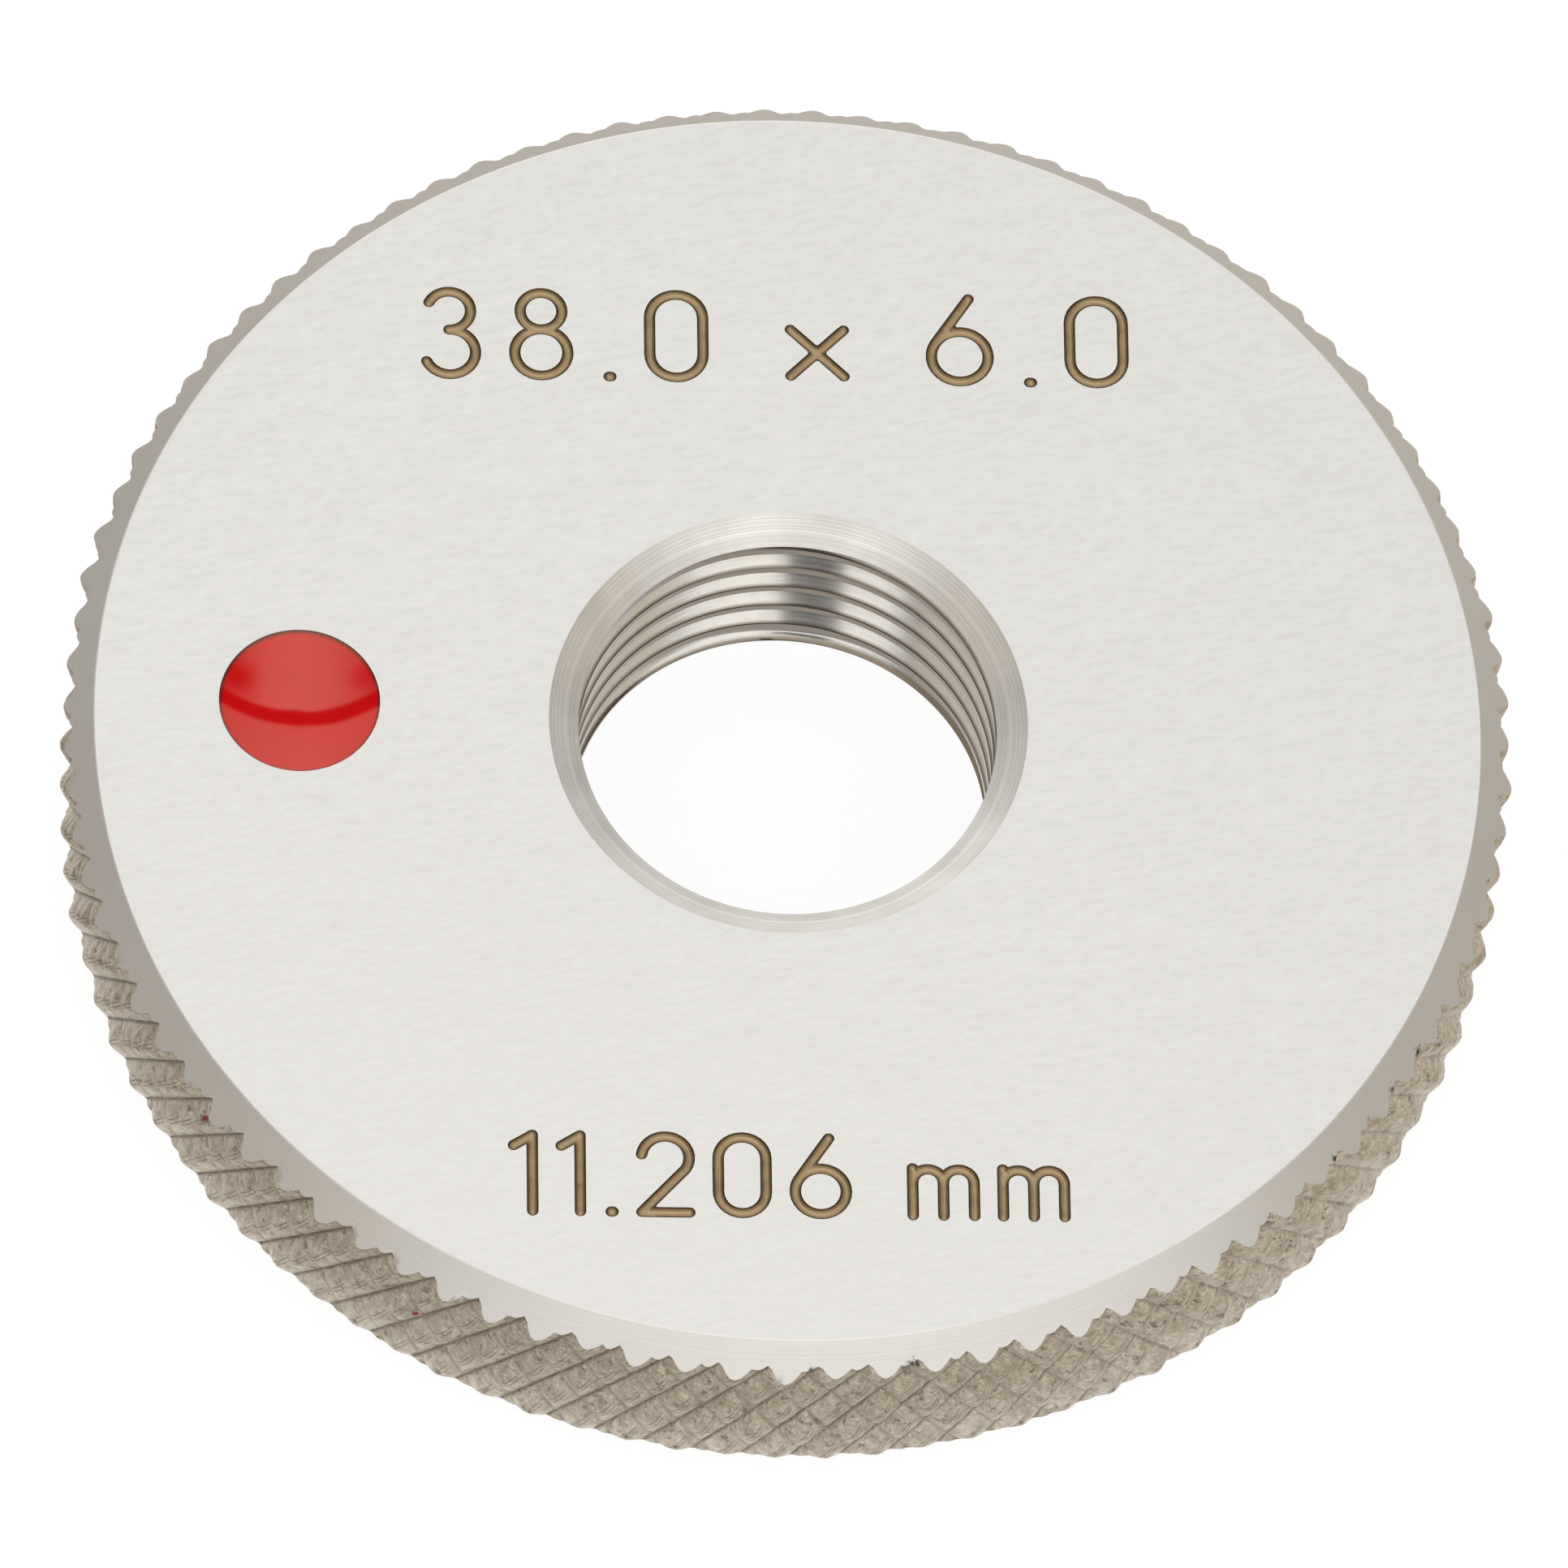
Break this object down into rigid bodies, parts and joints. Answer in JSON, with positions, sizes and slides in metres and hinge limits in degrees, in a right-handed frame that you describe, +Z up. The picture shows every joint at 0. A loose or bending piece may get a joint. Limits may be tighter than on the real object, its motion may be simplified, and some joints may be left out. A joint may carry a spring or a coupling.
{
  "type": "thread ring gauge",
  "caption": "Flat steel thread ring gauge with a countersunk screw-thread bore, bevelled faces, a diamond-knurled rim and a red paint mark.",
  "frame": {"origin": "centre of the bore, on the underside that the ring lies on", "axes": "+Z up along the bore, out of the marked face; -X towards the red mark, so the marking reads along +X"},
  "size_m": [0.038, 0.038, 0.006],
  "materials": {
    "steel": "finely ground faces, knurled rim",
    "red_paint": "gloss"
  },
  "bodies": {
    "root": {"gauge_ring": "steel", "red_dot": "red_paint"}
  },
  "joints": []
}
